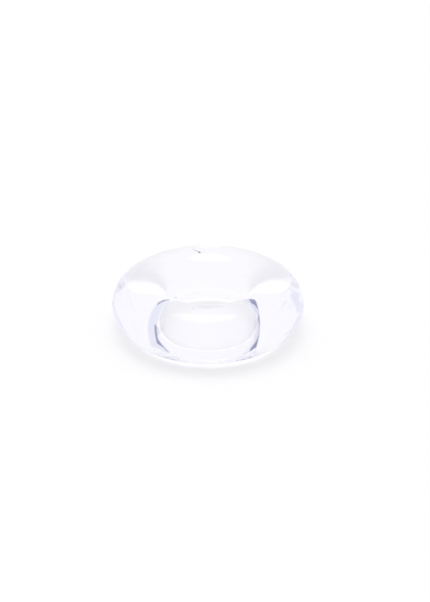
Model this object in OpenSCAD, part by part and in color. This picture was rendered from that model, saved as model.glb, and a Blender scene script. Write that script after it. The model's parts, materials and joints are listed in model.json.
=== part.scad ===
// Ring insulator: one solid ring of clear pressed glass with a round hole through it.
//
// The ring lies flat on its foot with its axis along Z. The outside of its section is a half
// circle. The inside has a short straight land halfway up the hole. From each end of the land a
// tight arc and then a wide one run on to the crown and to the foot without an edge. The very
// bottom is pressed flat for a narrow foot. The whole ring is one section of circles and squares,
// turned about the axis.

/* [Ring] */
// Outside diameter across the widest part of the ring
outer_d = 46; // [43:0.5:54]
// Diameter of the straight stretch of the hole
bore_d = 18.8; // [16:0.2:20.4]
// Height from the foot to the crown
ring_h = 13.4; // [12:0.1:14]

/* [Section] */
// Length of the straight land halfway up the hole
land_h = 2.4; // [1:0.1:4]
// Least width of the level crown between the inside and the outside of the section
least_crown_w = 0.1; // [0.1:0.05:0.5]
// Height pressed off the bottom of the round section to leave the flat foot
foot_cut = 0.04; // [0.02:0.01:0.2]

/* [Finish] */
// Number of facets round a full circle when the ring is shown as a mesh
facets = 180; // [60:12:240]

/* [Hidden] */

$fn = facets;

// Clear glass with the faint violet cast of old pressed ware
glass_tint = [0.86, 0.85, 0.96, 0.55];
// How far a cutting shape stands past the face that it cuts
spare = 1;

outer_r = outer_d / 2;
bore_r = bore_d / 2;
// Height of the section before its bottom is pressed flat
section_h = ring_h + foot_cut;
// Level of the widest circle, and of the middle of the land
mid_z = section_h / 2 - foot_cut;
// The outside of the section is half of this circle, centred at nose_x from the axis
nose_r = section_h / 2;
nose_x = outer_r - nose_r;

// Height of the two inside arcs together, from the end of the land to the crown
arcs_h = (section_h - land_h) / 2;
// Their width: where the ring is too broad for it, the crown is wider instead
arcs_w = min(nose_x - least_crown_w - bore_r, 1.7 * arcs_h);
// The arcs meet where their shared normal rises 3 for every 4 that it runs towards the axis
wide_r = 1.5 * arcs_w - 0.5 * arcs_h;
tight_r = 2 * arcs_h - arcs_w;
wide_x = bore_r + arcs_w;
wide_z = section_h / 2 - wide_r;
tight_x = bore_r + tight_r;
meet_x = tight_x - 0.8 * tight_r;

// The outside of the section: the half of the nose circle that faces away from the axis
module nose() {
    intersection() {
        translate([nose_x, 0]) circle(r = nose_r);
        translate([nose_x, -section_h]) square([outer_r, 2 * section_h]);
    }
}

// The inside of the section with square corners, from the hole's wall out to the nose
module web() {
    translate([bore_r, -section_h / 2]) square([nose_x - bore_r, section_h]);
}

// What the tight upper arc takes off the square corner, out to where the arcs meet
module tight_waste() {
    difference() {
        translate([bore_r - spare, land_h / 2]) square([meet_x - bore_r + spare, section_h]);
        translate([tight_x, land_h / 2]) circle(r = tight_r);
    }
}

// What the wide upper arc takes off, from there to the crown
module wide_waste() {
    difference() {
        translate([meet_x, max(land_h / 2, wide_z)]) square([wide_x - meet_x, section_h]);
        translate([wide_x, wide_z]) circle(r = wide_r);
    }
}

// What lies below the foot
module foot_waste() {
    translate([0, -section_h / 2 - spare]) square([outer_r, foot_cut + spare]);
}

// The glass cut through one side of the ring, with its mid level on the X axis
module section() {
    difference() {
        union() {
            nose();
            web();
        }
        tight_waste();
        wide_waste();
        mirror([0, 1]) tight_waste();
        mirror([0, 1]) wide_waste();
        foot_waste();
    }
}

module ring() {
    color(glass_tint) translate([0, 0, mid_z]) rotate_extrude() section();
}

ring();
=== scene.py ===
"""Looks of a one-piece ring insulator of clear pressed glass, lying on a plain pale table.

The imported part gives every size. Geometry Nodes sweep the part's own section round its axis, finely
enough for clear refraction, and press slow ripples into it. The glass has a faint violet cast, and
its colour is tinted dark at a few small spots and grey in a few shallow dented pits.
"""

import json
import logging
import math
from dataclasses import dataclass
from enum import Enum
from typing import Any

import bmesh
import bpy
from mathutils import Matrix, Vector


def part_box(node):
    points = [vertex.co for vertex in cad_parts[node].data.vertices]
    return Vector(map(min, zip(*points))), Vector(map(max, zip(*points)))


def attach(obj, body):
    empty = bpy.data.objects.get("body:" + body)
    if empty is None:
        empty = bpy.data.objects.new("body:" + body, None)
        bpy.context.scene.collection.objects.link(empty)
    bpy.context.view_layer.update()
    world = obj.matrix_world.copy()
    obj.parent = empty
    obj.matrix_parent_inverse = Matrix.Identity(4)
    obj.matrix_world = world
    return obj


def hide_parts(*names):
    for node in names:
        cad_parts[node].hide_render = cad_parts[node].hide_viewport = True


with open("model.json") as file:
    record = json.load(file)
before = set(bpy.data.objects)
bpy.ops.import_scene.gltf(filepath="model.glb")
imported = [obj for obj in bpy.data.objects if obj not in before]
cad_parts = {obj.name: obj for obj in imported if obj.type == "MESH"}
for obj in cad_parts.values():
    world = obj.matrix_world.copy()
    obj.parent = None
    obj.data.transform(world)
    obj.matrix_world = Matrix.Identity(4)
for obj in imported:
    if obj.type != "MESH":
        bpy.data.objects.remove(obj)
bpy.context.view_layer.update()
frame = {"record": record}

LOG = logging.getLogger("ring_insulator")
MM = 0.001
# A card's own coordinates run from 0 to twice this, so that its middle is here
CARD_FOLD = 1.0
# Width of the image over its height
FRAME_ASPECT = 430 / 602


class FlawKind(Enum):
    """What a small flaw on the glass is, by the finish that it takes."""

    # The glass colour is tinted dark violet-grey here, with a rougher gloss.
    SPECK = "dark speck of scale from the mould"
    # A shallow dent, with the glass colour tinted grey and a rougher gloss.
    PIT = "shallow pit with dust in it"


def linear_rgb(hex_colour: str) -> tuple[float, float, float, float]:
    """Turns an sRGB hex colour into Blender's linear colour.

    Args:
        hex_colour: Six hex digits after a hash.

    Returns:
        Linear red, green and blue, and an alpha of 1.
    """
    digits = hex_colour.lstrip("#")
    channels = [int(digits[i : i + 2], 16) / 255 for i in (0, 2, 4)]
    red, green, blue = (c / 12.92 if c <= 0.04045 else ((c + 0.055) / 1.055) ** 2.4 for c in channels)
    return (red, green, blue, 1.0)


def add_node(
    tree: bpy.types.NodeTree, kind: str, inputs: dict[Any, Any] | None = None, **settings: Any
) -> Any:
    """Adds one node to a tree, with its settings and its inputs.

    Args:
        tree: The shader, world or geometry tree.
        kind: The node's type name.
        inputs: Input name or number, with the plain value that it holds or the output that feeds it.
        **settings: The node's own properties.

    Returns:
        The new node.
    """
    node = tree.nodes.new(kind)
    for name, value in settings.items():
        setattr(node, name, value)
    for key, value in (inputs or {}).items():
        if isinstance(value, bpy.types.NodeSocket):
            tree.links.new(value, node.inputs[key])
        else:
            node.inputs[key].default_value = value
    return node


def new_material(name: str) -> bpy.types.Material:
    """Makes an empty node material.

    Args:
        name: Its name.

    Returns:
        The material.
    """
    material = bpy.data.materials.new(name)
    material.use_nodes = True
    material.node_tree.nodes.clear()
    return material


def new_object(name: str, mesh: bpy.types.Mesh) -> bpy.types.Object:
    """Puts a mesh into the scene as an object at the origin.

    Args:
        name: The object's name.
        mesh: Its mesh.

    Returns:
        The object.
    """
    made = bpy.data.objects.new(name, mesh)
    bpy.context.scene.collection.objects.link(made)
    return made


@dataclass(frozen=True)
class SectionArc:
    """One arc of the ring's section, in metres.

    Attributes:
        reach: Distance of its centre from the ring's axis.
        level: Height of its centre over the middle of the ring, or depth under it for the lower arc.
        radius: Its radius.
    """

    reach: float
    level: float
    radius: float


@dataclass(frozen=True)
class RingSection:
    """The cut through one side of the ring, in metres.

    The outside is a half circle, the nose. The inside is a straight land, with a tight arc and then a
    wide one from each of its ends to the crown and to the foot.

    Attributes:
        outer_radius: From the axis to the widest circle.
        bore_radius: From the axis to the straight land in the hole.
        height: From the foot to the crown.
        land_height: Length of the land along the axis.
        middle: Level of the widest circle above the foot.
        crown_width: Width of the level crown between the nose and the wide arc.
        meet_sine: Part of the normal that runs towards the axis where the two inside arcs meet.
    """

    outer_radius: float
    bore_radius: float
    height: float
    land_height: float
    middle: float
    crown_width: float = 0.1 * MM
    meet_sine: float = 0.8

    @classmethod
    def from_frame(cls, node: str, mount: str) -> "RingSection":
        """Reads the section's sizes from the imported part.

        Args:
            node: The ring's node.
            mount: The mount that states the land of the hole.

        Returns:
            The section.
        """
        low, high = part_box(node)
        bore = next(m for m in frame["record"]["mounts"] if m["name"] == mount)
        return cls(
            outer_radius=(high.x - low.x) / 2,
            bore_radius=bore["dims"]["r_mm"] * MM,
            height=high.z - low.z,
            land_height=bore["dims"]["length_mm"] * MM,
            middle=bore["pos_m"][2] - low.z,
        )

    @property
    def nose(self) -> SectionArc:
        """The half circle outside."""
        radius = self.height - self.middle
        return SectionArc(self.outer_radius - radius, 0.0, radius)

    @property
    def meet_cosine(self) -> float:
        """Part of the normal that runs along the axis where the two inside arcs meet."""
        return math.sqrt(1 - self.meet_sine**2)

    @property
    def wide(self) -> SectionArc:
        """Works out the arc between the crown and the tight arc.

        Returns:
            The arc, tangent to the crown and to the tight arc.
        """
        width, height = self.inside()
        cosine = self.meet_cosine
        spare = self.meet_sine + cosine - 1
        radius = (width * cosine - height * (1 - self.meet_sine)) / spare
        return SectionArc(self.bore_radius + width, self.nose.radius - radius, radius)

    @property
    def tight(self) -> SectionArc:
        """Works out the arc between the wide arc and the land.

        Returns:
            The arc, tangent to the wide arc and to the land.
        """
        width, height = self.inside()
        cosine = self.meet_cosine
        spare = self.meet_sine + cosine - 1
        radius = (height * self.meet_sine - width * (1 - cosine)) / spare
        return SectionArc(self.bore_radius + radius, self.land_height / 2, radius)

    def inside(self) -> tuple[float, float]:
        """Finds the width and the height that the two inside arcs share."""
        width = self.nose.reach - self.crown_width - self.bore_radius
        return width, self.nose.radius - self.land_height / 2

    def point(self, turn: float, slope: float) -> Vector:
        """Finds a place on the surface.

        Args:
            turn: Angle round the axis in degrees, from +X towards +Y.
            slope: Angle of the surface's normal in degrees: 0 points outwards, 90 up, 180 at the axis.

        Returns:
            The place, in the part's frame.
        """
        tilt, angle = math.radians(slope), math.radians(turn)
        if math.cos(tilt) >= 0:
            arc = self.nose
        elif math.cos(tilt) >= -self.meet_sine:
            arc = self.wide
        else:
            arc = self.tight
        reach = arc.reach + arc.radius * math.cos(tilt)
        centre = self.middle + math.copysign(1.0, math.sin(tilt)) * arc.level
        level = centre + arc.radius * math.sin(tilt)
        return Vector((reach * math.cos(angle), reach * math.sin(angle), level))


@dataclass(frozen=True)
class Flaw:
    """A small flaw on the surface: a row of round dots, each a little further along than the last.

    Attributes:
        kind: What the flaw is.
        turn: Angle of the first dot round the axis, in degrees.
        slope: Angle of the surface's normal there, in degrees.
        size_mm: Diameter of the first dot.
        dots: Number of dots.
        turn_step: Angle round the axis from dot to dot, in degrees.
        slope_step: Angle of the normal from dot to dot, in degrees.
        taper: Size of each dot as a share of the one before.
    """

    kind: FlawKind
    turn: float
    slope: float
    size_mm: float
    dots: int = 1
    turn_step: float = 0.0
    slope_step: float = 0.0
    taper: float = 1.0


FLAWS: tuple[Flaw, ...] = (
    Flaw(
        FlawKind.SPECK, turn=98.7, slope=105.9, size_mm=0.7,
        dots=2, turn_step=0.8, slope_step=-1.6, taper=0.8,
    ),
    Flaw(
        FlawKind.PIT, turn=101.0, slope=101.5, size_mm=0.34,
        dots=7, turn_step=0.55, slope_step=-1.3, taper=0.93,
    ),
    Flaw(
        FlawKind.PIT, turn=-102.2, slope=87.6, size_mm=0.3,
        dots=3, turn_step=0.6, slope_step=0.2, taper=0.9,
    ),
    Flaw(FlawKind.PIT, turn=-96.3, slope=89.8, size_mm=0.24, dots=4, turn_step=2.5, slope_step=0.4),
    Flaw(FlawKind.PIT, turn=97.0, slope=72.0, size_mm=0.4, dots=6, turn_step=1.9, slope_step=-0.6),
    Flaw(FlawKind.SPECK, turn=-17.3, slope=102.5, size_mm=0.4),
    Flaw(FlawKind.SPECK, turn=146.8, slope=187.2, size_mm=0.45),
    Flaw(FlawKind.PIT, turn=-40.1, slope=-7.9, size_mm=0.3, dots=4, turn_step=1.7, slope_step=0.4),
)


@dataclass(frozen=True)
class PressedGlass:
    """Clear soda-lime glass, pressed in an iron mould and fire-polished.

    It is bright and almost colourless where thin, and faintly violet where light runs a long way
    through it. Fire-polishing leaves it glossy, with a little haze. Faint cords of slightly different
    glass show on it. Its colour is tinted dark at small spots and grey in shallow dented pits.

    Attributes:
        name: Name of the material.
        ior: Refractive index.
        surface: Colour of clear surface.
        cord: Colour of a cord.
        cord_mm: Distance from cord to cord.
        cord_detail: Octaves of finer cords.
        cord_twist: How strongly the cords wind.
        cast: Colour that a long way through the glass turns light towards.
        cast_per_metre: How fast it does.
        polish: Roughness where the polish is best.
        haze: Roughness where it is worst.
        haze_mm: Distance from one hazy place to the next.
        haze_start: Level of the noise at which haze begins.
        haze_full: Level of the noise at which it is full.
        speck: Colour of a speck.
        pit_tint: Grey colour that the glass is tinted in a pit.
        flaw_core: Share of a flaw's radius inside which it is full.
        flaw_roughness: Roughness of a flaw.
        pit_depth_mm: Depth of a pit.
    """

    name: str = "clear_pressed_glass"
    ior: float = 1.5
    surface: str = "#FFFFFF"
    cord: str = "#FBFBFE"
    cord_mm: float = 6.0
    cord_detail: float = 3.0
    cord_twist: float = 1.2
    cast: str = "#B9B2F2"
    cast_per_metre: float = 2.8
    polish: float = 0.0
    haze: float = 0.02
    haze_mm: float = 3.0
    haze_start: float = 0.5
    haze_full: float = 0.8
    speck: str = "#34324A"
    pit_tint: str = "#8A88A6"
    flaw_core: float = 0.6
    flaw_roughness: float = 0.35
    pit_depth_mm: float = 0.12

    def flaw_mask(
        self, tree: bpy.types.NodeTree, place: Any, section: RingSection, kind: FlawKind
    ) -> Any:
        """Builds the mask of one kind of flaw, 1 on a flaw and 0 off it.

        Args:
            tree: The material's tree.
            place: Output with the object coordinates.
            section: Section that the flaws lie on.
            kind: Which flaws to take.

        Returns:
            The mask's output.
        """
        mask: Any = 0.0
        for flaw in (f for f in FLAWS if f.kind is kind):
            for i in range(flaw.dots):
                radius = flaw.size_mm * MM / 2 * flaw.taper**i
                spot = section.point(flaw.turn + i * flaw.turn_step, flaw.slope + i * flaw.slope_step)
                gap = add_node(tree, "ShaderNodeVectorMath", {0: place, 1: spot}, operation="DISTANCE")
                ramp = {
                    "Value": gap.outputs["Value"],
                    "From Min": radius * self.flaw_core,
                    "From Max": radius,
                    "To Min": 1.0,
                    "To Max": 0.0,
                }
                dot = add_node(tree, "ShaderNodeMapRange", ramp)
                mask = add_node(
                    tree, "ShaderNodeMath", {0: mask, 1: dot.outputs["Result"]}, operation="MAXIMUM"
                ).outputs["Value"]
        return mask

    def material(self, section: RingSection) -> bpy.types.Material:
        """Builds the finish.

        Args:
            section: Section that the flaws lie on.

        Returns:
            The material.
        """
        made = new_material(self.name)
        tree = made.node_tree
        place = add_node(tree, "ShaderNodeTexCoord").outputs["Object"]
        specks = self.flaw_mask(tree, place, section, FlawKind.SPECK)
        pits = self.flaw_mask(tree, place, section, FlawKind.PIT)
        flawed = add_node(tree, "ShaderNodeMath", {0: specks, 1: pits}, operation="MAXIMUM").outputs["Value"]

        cords = add_node(
            tree,
            "ShaderNodeTexNoise",
            {
                "Vector": place,
                "Scale": 1 / (self.cord_mm * MM),
                "Detail": self.cord_detail,
                "Distortion": self.cord_twist,
            },
        )
        clear = add_node(
            tree,
            "ShaderNodeMix",
            {"Factor": cords.outputs["Fac"], 6: linear_rgb(self.surface), 7: linear_rgb(self.cord)},
            data_type="RGBA",
        )
        # The pits tint the glass colour grey.
        pit_tinted = add_node(
            tree,
            "ShaderNodeMix",
            {"Factor": pits, 6: clear.outputs[2], 7: linear_rgb(self.pit_tint)},
            data_type="RGBA",
        )
        # The specks tint the glass colour dark violet-grey.
        colour = add_node(
            tree,
            "ShaderNodeMix",
            {"Factor": specks, 6: pit_tinted.outputs[2], 7: linear_rgb(self.speck)},
            data_type="RGBA",
        )
        hazing = add_node(tree, "ShaderNodeTexNoise", {"Vector": place, "Scale": 1 / (self.haze_mm * MM)})
        gloss = add_node(
            tree,
            "ShaderNodeMapRange",
            {
                "Value": hazing.outputs["Fac"],
                "From Min": self.haze_start,
                "From Max": self.haze_full,
                "To Min": self.polish,
                "To Max": self.haze,
            },
        )
        roughness = add_node(
            tree, "ShaderNodeMix", {"Factor": flawed, 2: gloss.outputs["Result"], 3: self.flaw_roughness}
        )
        bump = add_node(
            tree,
            "ShaderNodeBump",
            {"Height": pits, "Strength": 1.0, "Distance": self.pit_depth_mm * MM},
            invert=True,
        )
        glass = add_node(
            tree,
            "ShaderNodeBsdfPrincipled",
            {
                "Base Color": colour.outputs[2],
                "Roughness": roughness.outputs[0],
                "Normal": bump.outputs["Normal"],
                "IOR": self.ior,
                "Transmission Weight": 1.0,
            },
        )
        depth = add_node(
            tree,
            "ShaderNodeVolumeAbsorption",
            {"Color": linear_rgb(self.cast), "Density": self.cast_per_metre},
        )
        add_node(
            tree,
            "ShaderNodeOutputMaterial",
            {"Surface": glass.outputs["BSDF"], "Volume": depth.outputs["Volume"]},
        )
        return made


@dataclass(frozen=True)
class TablePaper:
    """Matt white background paper: bright, without gloss, and with faint broad clouds in its tone.

    Attributes:
        name: Name of the material.
        colour: Its brighter tone.
        shade: Its darker tone.
        cloud_mm: Distance from cloud to cloud.
        roughness: Its roughness.
    """

    name: str = "table_paper"
    colour: str = "#F3F3F3"
    shade: str = "#F1F1F1"
    cloud_mm: float = 40.0
    roughness: float = 1.0

    def material(self) -> bpy.types.Material:
        """Builds the finish.

        Returns:
            The material.
        """
        made = new_material(self.name)
        tree = made.node_tree
        place = add_node(tree, "ShaderNodeTexCoord").outputs["Object"]
        clouds = add_node(tree, "ShaderNodeTexNoise", {"Vector": place, "Scale": 1 / (self.cloud_mm * MM)})
        colour = add_node(
            tree,
            "ShaderNodeMix",
            {"Factor": clouds.outputs["Fac"], 6: linear_rgb(self.colour), 7: linear_rgb(self.shade)},
            data_type="RGBA",
        )
        paper = add_node(
            tree,
            "ShaderNodeBsdfPrincipled",
            {"Base Color": colour.outputs[2], "Roughness": self.roughness, "Specular IOR Level": 0.0},
        )
        add_node(tree, "ShaderNodeOutputMaterial", {"Surface": paper.outputs["BSDF"]})
        return made


@dataclass
class GlassRing:
    """The insulator's only piece: a solid glass ring with a round hole.

    Attributes:
        section: The cut through one side of it.
        finish: Its glass.
        turn_steps: Number of steps round the axis.
        section_steps: Number of steps round the section.
        ripple_mm: Distance from ripple to ripple.
        ripple_depth_mm: How deep the ripples are pressed into the surface.
        ripple_detail: Octaves of finer ripples.
        ripple_seed: Fixed seed of the ripples.
        weld_mm: Points nearer to each other than this become one.
    """

    section: RingSection
    finish: PressedGlass
    turn_steps: int = 420
    section_steps: int = 196
    ripple_mm: float = 9.0
    ripple_depth_mm: float = 0.02
    ripple_detail: float = 1.0
    ripple_seed: float = 4.0
    weld_mm: float = 0.001

    def values(self) -> dict[str, tuple[str, Any]]:
        """Lists the sweep's named inputs.

        Returns:
            Each input's socket type and value, by its name.
        """
        cut = self.section
        arcs = {"Nose": cut.nose, "Wide": cut.wide, "Tight": cut.tight}
        listed: dict[str, tuple[str, Any]] = {}
        for label, arc in arcs.items():
            listed[f"{label} Reach"] = ("NodeSocketFloat", arc.reach)
            listed[f"{label} Level"] = ("NodeSocketFloat", arc.level)
            listed[f"{label} Radius"] = ("NodeSocketFloat", arc.radius)
        listed |= {
            "Meeting Slope": ("NodeSocketFloat", -cut.meet_sine),
            "Spine Radius": ("NodeSocketFloat", (cut.outer_radius + cut.bore_radius) / 2),
            "Middle Level": ("NodeSocketFloat", cut.middle),
            "Turn Steps": ("NodeSocketInt", self.turn_steps),
            "Section Steps": ("NodeSocketInt", self.section_steps),
            "Weld Distance": ("NodeSocketFloat", self.weld_mm * MM),
            "Ripple Scale": ("NodeSocketFloat", 1 / (self.ripple_mm * MM)),
            "Ripple Detail": ("NodeSocketFloat", self.ripple_detail),
            "Ripple Depth": ("NodeSocketFloat", self.ripple_depth_mm * MM),
            "Ripple Seed": ("NodeSocketFloat", self.ripple_seed),
            "Glass": ("NodeSocketMaterial", self.finish.material(cut)),
        }
        return listed

    def section_points(self, tree: bpy.types.NodeTree, given: Any) -> Any:
        """Builds the nodes that say where each point of the section lies.

        The point's share of a full turn is the angle of the surface's normal, and the normal picks the
        arc: the nose outside, and inside the wide arc or, where it is steep, the tight one.

        Args:
            tree: The sweep's tree.
            given: The tree's inputs.

        Returns:
            Output with the place, measured from the spine: outwards along X and up along Y.
        """
        index = add_node(tree, "GeometryNodeInputIndex").outputs["Index"]
        between = add_node(tree, "ShaderNodeMath", {0: index, 1: 0.5}, operation="ADD")
        share = add_node(
            tree,
            "ShaderNodeMath",
            {0: between.outputs["Value"], 1: given["Section Steps"]},
            operation="DIVIDE",
        )
        angle = add_node(
            tree, "ShaderNodeMath", {0: share.outputs["Value"], 1: math.tau}, operation="MULTIPLY"
        ).outputs["Value"]
        across = add_node(tree, "ShaderNodeMath", {0: angle}, operation="COSINE").outputs["Value"]
        up = add_node(tree, "ShaderNodeMath", {0: angle}, operation="SINE").outputs["Value"]
        inner, steep = (
            add_node(
                tree, "FunctionNodeCompare", {0: across, 1: limit}, data_type="FLOAT", operation="LESS_THAN"
            ).outputs["Result"]
            for limit in (0.0, given["Meeting Slope"])
        )
        picked = {}
        for size in ("Reach", "Level", "Radius"):
            inside = add_node(
                tree,
                "GeometryNodeSwitch",
                {"Switch": steep, "False": given[f"Wide {size}"], "True": given[f"Tight {size}"]},
                input_type="FLOAT",
            )
            picked[size] = add_node(
                tree,
                "GeometryNodeSwitch",
                {"Switch": inner, "False": given[f"Nose {size}"], "True": inside.outputs["Output"]},
                input_type="FLOAT",
            ).outputs["Output"]
        side = add_node(tree, "ShaderNodeMath", {0: up}, operation="SIGN")
        level = add_node(
            tree, "ShaderNodeMath", {0: picked["Level"], 1: side.outputs["Value"]}, operation="MULTIPLY"
        )
        reach = add_node(
            tree, "ShaderNodeMath", {0: picked["Reach"], 1: given["Spine Radius"]}, operation="SUBTRACT"
        )
        centre = add_node(
            tree, "ShaderNodeCombineXYZ", {"X": reach.outputs["Value"], "Y": level.outputs["Value"]}
        )
        normal = add_node(tree, "ShaderNodeCombineXYZ", {"X": across, "Y": up})
        arm = add_node(
            tree,
            "ShaderNodeVectorMath",
            {0: normal.outputs["Vector"], "Scale": picked["Radius"]},
            operation="SCALE",
        )
        return add_node(
            tree,
            "ShaderNodeVectorMath",
            {0: centre.outputs["Vector"], 1: arm.outputs["Vector"]},
            operation="ADD",
        ).outputs["Vector"]

    def ripples(self, tree: bpy.types.NodeTree, given: Any) -> Any:
        """Builds the nodes that press slow ripples into the surface and lift it to its level.

        Args:
            tree: The sweep's tree.
            given: The tree's inputs.

        Returns:
            Output with each point's offset.
        """
        place = add_node(tree, "GeometryNodeInputPosition").outputs["Position"]
        noise = add_node(
            tree,
            "ShaderNodeTexNoise",
            {
                "Vector": place,
                "W": given["Ripple Seed"],
                "Scale": given["Ripple Scale"],
                "Detail": given["Ripple Detail"],
            },
            noise_dimensions="4D",
        )
        depth = add_node(
            tree, "ShaderNodeMath", {0: noise.outputs["Fac"], 1: given["Ripple Depth"]}, operation="MULTIPLY"
        )
        inwards = add_node(tree, "ShaderNodeMath", {0: depth.outputs["Value"], 1: -1.0}, operation="MULTIPLY")
        normal = add_node(tree, "GeometryNodeInputNormal").outputs["Normal"]
        press = add_node(
            tree, "ShaderNodeVectorMath", {0: normal, "Scale": inwards.outputs["Value"]}, operation="SCALE"
        )
        lift = add_node(tree, "ShaderNodeCombineXYZ", {"Z": given["Middle Level"]})
        return add_node(
            tree,
            "ShaderNodeVectorMath",
            {0: press.outputs["Vector"], 1: lift.outputs["Vector"]},
            operation="ADD",
        ).outputs["Vector"]

    def sweep_tree(self, values: dict[str, tuple[str, Any]]) -> tuple[bpy.types.NodeTree, dict[str, str]]:
        """Builds the tree that sweeps the section round the axis.

        Args:
            values: The named inputs.

        Returns:
            The tree, and each input's identifier by its name.
        """
        tree = bpy.data.node_groups.new("ring_sweep", "GeometryNodeTree")
        tree.interface.new_socket("Ring", in_out="OUTPUT", socket_type="NodeSocketGeometry")
        keys = {}
        for name, (kind, _) in values.items():
            keys[name] = tree.interface.new_socket(name, in_out="INPUT", socket_type=kind).identifier
        given = add_node(tree, "NodeGroupInput").outputs

        # The section: each point of a circle moves to where the section has that point's normal.
        loop = add_node(tree, "GeometryNodeCurvePrimitiveCircle", {"Resolution": given["Section Steps"]})
        cut = add_node(
            tree,
            "GeometryNodeSetPosition",
            {"Geometry": loop.outputs["Curve"], "Position": self.section_points(tree, given)},
        )
        spine = add_node(
            tree,
            "GeometryNodeCurvePrimitiveCircle",
            {"Resolution": given["Turn Steps"], "Radius": given["Spine Radius"]},
        )
        upright = add_node(tree, "GeometryNodeSetCurveNormal", {"Curve": spine.outputs["Curve"]}, mode="Z_UP")
        swept = add_node(
            tree,
            "GeometryNodeCurveToMesh",
            {"Curve": upright.outputs["Curve"], "Profile Curve": cut.outputs["Geometry"]},
        )
        closed = add_node(
            tree,
            "GeometryNodeMergeByDistance",
            {"Geometry": swept.outputs["Mesh"], "Distance": given["Weld Distance"]},
        )
        raised = add_node(
            tree,
            "GeometryNodeSetPosition",
            {"Geometry": closed.outputs["Geometry"], "Offset": self.ripples(tree, given)},
        )
        # The foot: nothing reaches below its level.
        place = add_node(tree, "GeometryNodeInputPosition").outputs["Position"]
        parts = add_node(tree, "ShaderNodeSeparateXYZ", {"Vector": place}).outputs
        level = add_node(tree, "ShaderNodeMath", {0: parts["Z"], 1: 0.0}, operation="MAXIMUM")
        flat = add_node(
            tree, "ShaderNodeCombineXYZ", {"X": parts["X"], "Y": parts["Y"], "Z": level.outputs["Value"]}
        )
        footed = add_node(
            tree,
            "GeometryNodeSetPosition",
            {"Geometry": raised.outputs["Geometry"], "Position": flat.outputs["Vector"]},
        )
        smooth = add_node(tree, "GeometryNodeSetShadeSmooth", {"Geometry": footed.outputs["Geometry"]})
        real = add_node(tree, "GeometryNodeRealizeInstances", {"Geometry": smooth.outputs["Geometry"]})
        dressed = add_node(
            tree,
            "GeometryNodeSetMaterial",
            {"Geometry": real.outputs["Geometry"], "Material": given["Glass"]},
        )
        add_node(tree, "NodeGroupOutput", {"Ring": dressed.outputs["Geometry"]})
        return tree, keys

    def build(self) -> bpy.types.Object:
        """Sweeps the ring, makes it a plain mesh and hands it to the frame.

        Returns:
            The ring.
        """
        values = self.values()
        tree, keys = self.sweep_tree(values)
        host = new_object("ring_host", bpy.data.meshes.new("ring_host"))
        sweep = host.modifiers.new("sweep", "NODES")
        sweep.node_group = tree
        for name, (_, value) in values.items():
            sweep[keys[name]] = value
        graph = bpy.context.evaluated_depsgraph_get()
        mesh = bpy.data.meshes.new_from_object(host.evaluated_get(graph))
        bpy.data.objects.remove(host)
        shell = bmesh.new()
        shell.from_mesh(mesh)
        bmesh.ops.recalc_face_normals(shell, faces=shell.faces)
        shell.to_mesh(mesh)
        shell.free()
        ring = new_object("glass_ring", mesh)
        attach(ring, "root")
        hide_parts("ring")
        LOG.info("glass_ring: %d faces, %s", len(mesh.polygons), mesh.materials[0].name)
        return ring


@dataclass(frozen=True)
class StudioCard:
    """A flat, soft-edged card that faces the ring. The camera sees it only in the glass.

    Attributes:
        name: Its name.
        turn: Where it stands round the axis, in degrees from +X towards +Y.
        rise: Height of its middle as an angle seen from the ring, in degrees.
        reach: Distance from the ring, in metres.
        width: Its width, in metres.
        height: Its height, in metres.
        colour: What is seen of it in the glass.
        strength: Brightness of that.
        feather: Width of its soft edge, as a share of half the card's width or height.
    """

    name: str
    turn: float
    rise: float
    reach: float
    width: float
    height: float
    colour: str
    strength: float = 1.0
    feather: float = 0.2

    def material(self) -> bpy.types.Material:
        """Builds the card's even glow, which fades out towards its edges.

        Returns:
            The material.
        """
        made = new_material(self.name)
        tree = made.node_tree
        glow = add_node(
            tree,
            "ShaderNodeEmission",
            {"Color": linear_rgb(self.colour), "Strength": self.strength},
        )
        place = add_node(tree, "ShaderNodeTexCoord").outputs["UV"]
        parts = add_node(tree, "ShaderNodeSeparateXYZ", {"Vector": place}).outputs
        fade: Any = 1.0
        for part in (parts["X"], parts["Y"]):
            # Folded in its middle, the coordinate rises from 0 at both edges.
            inside = add_node(
                tree, "ShaderNodeMath", {0: part, 1: CARD_FOLD}, operation="PINGPONG"
            ).outputs["Value"]
            ramp = add_node(
                tree,
                "ShaderNodeMapRange",
                {"Value": inside, "From Min": 0.0, "From Max": self.feather * CARD_FOLD},
                interpolation_type="SMOOTHSTEP",
            )
            fade = add_node(
                tree, "ShaderNodeMath", {0: fade, 1: ramp.outputs["Result"]}, operation="MULTIPLY"
            ).outputs["Value"]
        clear = add_node(tree, "ShaderNodeBsdfTransparent")
        card = add_node(
            tree, "ShaderNodeMixShader", {0: fade, 1: clear.outputs["BSDF"], 2: glow.outputs["Emission"]}
        )
        add_node(tree, "ShaderNodeOutputMaterial", {"Surface": card.outputs["Shader"]})
        return made

    def build(self) -> bpy.types.Object:
        """Stands the card up, facing the ring.

        Returns:
            The card.
        """
        turn, rise = math.radians(self.turn), math.radians(self.rise)
        away = Vector((math.cos(rise) * math.cos(turn), math.cos(rise) * math.sin(turn), math.sin(rise)))
        side = Vector((-math.sin(turn), math.cos(turn), 0.0)) * self.width / 2
        up = away.cross(side).normalized() * self.height / 2
        ends = ((-1, -1), (1, -1), (1, 1), (-1, 1))
        corners = [away * self.reach + side * x + up * y for x, y in ends]
        mesh = bpy.data.meshes.new(self.name)
        mesh.from_pydata(corners, [], [(0, 1, 2, 3)])
        layer = mesh.uv_layers.new(name="card")
        for corner, (x, y) in zip(layer.data, ends):
            corner.uv = ((x + 1) * CARD_FOLD, (y + 1) * CARD_FOLD)
        mesh.materials.append(self.material())
        card = new_object(self.name, mesh)
        card.visible_camera = False
        card.visible_diffuse = False
        card.visible_shadow = False
        return card


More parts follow.
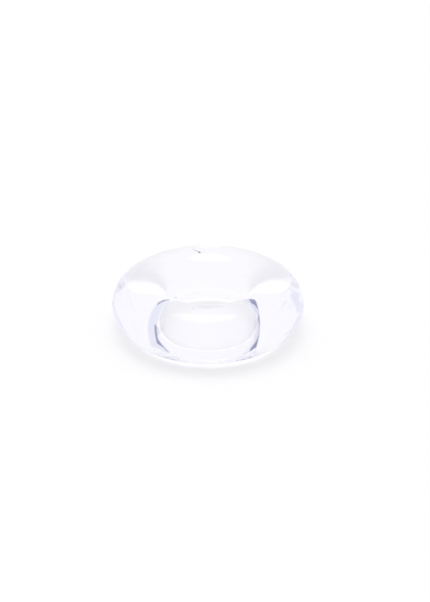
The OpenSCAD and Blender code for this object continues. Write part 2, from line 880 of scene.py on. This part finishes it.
CARDS: tuple[StudioCard, ...] = (
    StudioCard(
        "left_flag", turn=159.0, rise=30.6, reach=0.15, width=0.062, height=0.0052, colour="#9698B8",
    ),
    StudioCard(
        "left_scrim", turn=149.0, rise=26.8, reach=0.31, width=0.25, height=0.052, colour="#E7E8F2",
    ),
    StudioCard(
        "right_flag", turn=22.0, rise=30.1, reach=0.15, width=0.034, height=0.0155, colour="#888CAF",
    ),
    StudioCard(
        "right_scrim", turn=17.0, rise=29.8, reach=0.31, width=0.165, height=0.05, colour="#DDDEEC",
    ),
    StudioCard(
        "low_scrim", turn=27.0, rise=12.0, reach=0.6, width=0.16, height=0.19, colour="#E0E1EE",
    ),
)


@dataclass(frozen=True)
class Softbox:
    """A round softbox that hangs over the ring and gives the light its direction.

    Attributes:
        turn: Which way it leans from straight overhead, in degrees from +X towards +Y.
        rise: Its height as an angle seen from the ring, in degrees.
        reach: Distance from the ring, in metres.
        size: Its diameter, in metres.
        share: Light that it lays on the table, as a share of what a white sky of strength 1 lays there.
        colour: Its colour.
    """

    turn: float = 110.0
    rise: float = 84.0
    reach: float = 2.5
    size: float = 1.7
    share: float = 0.112
    colour: str = "#FFFFFF"

    def build(self) -> bpy.types.Object:
        """Hangs the softbox.

        Returns:
            The light.
        """
        turn, rise = math.radians(self.turn), math.radians(self.rise)
        away = Vector((math.cos(rise) * math.cos(turn), math.cos(rise) * math.sin(turn), math.sin(rise)))
        data = bpy.data.lights.new("softbox", "AREA")
        data.shape = "DISK"
        data.size = self.size
        data.color = linear_rgb(self.colour)[:3]
        radius = self.size / 2
        spread = radius**2 / (radius**2 + self.reach**2)
        brightness = self.share / (spread * math.sin(rise))
        # A disc that glows evenly gives off its brightness times its area times pi.
        area = math.pi * radius**2
        data.energy = brightness * math.pi * area
        light = bpy.data.objects.new("softbox", data)
        bpy.context.scene.collection.objects.link(light)
        light.location = away * self.reach
        light.rotation_euler = away.to_track_quat("Z", "Y").to_euler()
        light.visible_camera = False
        return light


@dataclass
class Studio:
    """The table, the soft light round it and the camera.

    Attributes:
        section: The ring's section, for the sizes that the camera frames.
        table_size: Half the side of the table, in metres.
        table_gap: How far the table is under the foot, so that the two faces don't share a plane.
        sky: Colour of the light tent.
        sky_strength: Its brightness.
        exposure: Exposure in stops.
        camera_rise: How steeply the camera looks down, in degrees.
        camera_reach: Distance from the camera to the middle of the ring, in metres.
        ring_share: Width of the ring as a share of the image's width.
        ring_offset: How far left of the middle the ring stands, as a share of the image's long side.
        sensor: Size of the camera's sensor along the image's long side, in millimetres.
        near_clip: Distance from the camera at which things begin to show, in metres.
        bounces: How often light may turn inside the glass before it's given up.
    """

    section: RingSection
    table_size: float = 3.0
    table_gap: float = 0.05 * MM
    sky: str = "#FFFFFF"
    sky_strength: float = 0.955
    exposure: float = 0.095
    camera_rise: float = 27.9
    camera_reach: float = 0.23
    ring_share: float = 0.4437
    ring_offset: float = 0.0116
    sensor: float = 36.0
    near_clip: float = 0.01
    bounces: int = 48

    def table(self) -> bpy.types.Object:
        """Lays the table.

        Returns:
            The table.
        """
        half = self.table_size
        mesh = bpy.data.meshes.new("table")
        corners = [(-half, -half), (half, -half), (half, half), (-half, half)]
        mesh.from_pydata([(x, y, -self.table_gap) for x, y in corners], [], [(0, 1, 2, 3)])
        mesh.materials.append(TablePaper().material())
        table = new_object("table", mesh)
        return table

    def light_tent(self) -> bpy.types.World:
        """Surrounds the table with plain soft light.

        Returns:
            The world.
        """
        world = bpy.data.worlds.new("light_tent")
        world.use_nodes = True
        world.node_tree.nodes.clear()
        glow = add_node(
            world.node_tree,
            "ShaderNodeBackground",
            {"Color": linear_rgb(self.sky), "Strength": self.sky_strength},
        )
        add_node(world.node_tree, "ShaderNodeOutputWorld", {"Surface": glow.outputs["Background"]})
        bpy.context.scene.world = world
        return world

    def camera(self) -> bpy.types.Object:
        """Sets up the camera so that the ring takes its share of the image.

        Returns:
            The camera.
        """
        rise = math.radians(self.camera_rise)
        aim = Vector((0.0, 0.0, self.section.height / 2))
        data = bpy.data.cameras.new("camera")
        data.sensor_width = self.sensor
        share = self.ring_share * FRAME_ASPECT
        data.lens = self.sensor * self.camera_reach * share / (2 * self.section.outer_radius)
        data.shift_x = self.ring_offset
        data.clip_start = self.near_clip
        camera = bpy.data.objects.new("camera", data)
        bpy.context.scene.collection.objects.link(camera)
        camera.location = aim + Vector((0.0, -math.cos(rise), math.sin(rise))) * self.camera_reach
        camera.rotation_euler = (math.pi / 2 - rise, 0.0, 0.0)
        bpy.context.scene.camera = camera
        return camera

    def build(self) -> None:
        """Builds the whole studio."""
        self.table()
        self.light_tent()
        Softbox().build()
        for card in CARDS:
            card.build()
        self.camera()
        view = bpy.context.scene.view_settings
        view.view_transform = "Standard"
        view.exposure = self.exposure
        light = bpy.context.scene.cycles
        light.max_bounces = self.bounces
        light.transmission_bounces = self.bounces
        light.glossy_bounces = self.bounces
        light.blur_glossy = 0.0
        LOG.info("studio: table, light tent, %d cards and camera", len(CARDS))


def main() -> None:
    """Builds the ring and the studio."""
    logging.basicConfig(level=logging.INFO, format="%(name)s: %(message)s")
    section = RingSection.from_frame("ring", "bore")
    GlassRing(section, PressedGlass()).build()
    Studio(section).build()


if __name__ == "__main__":
    main()
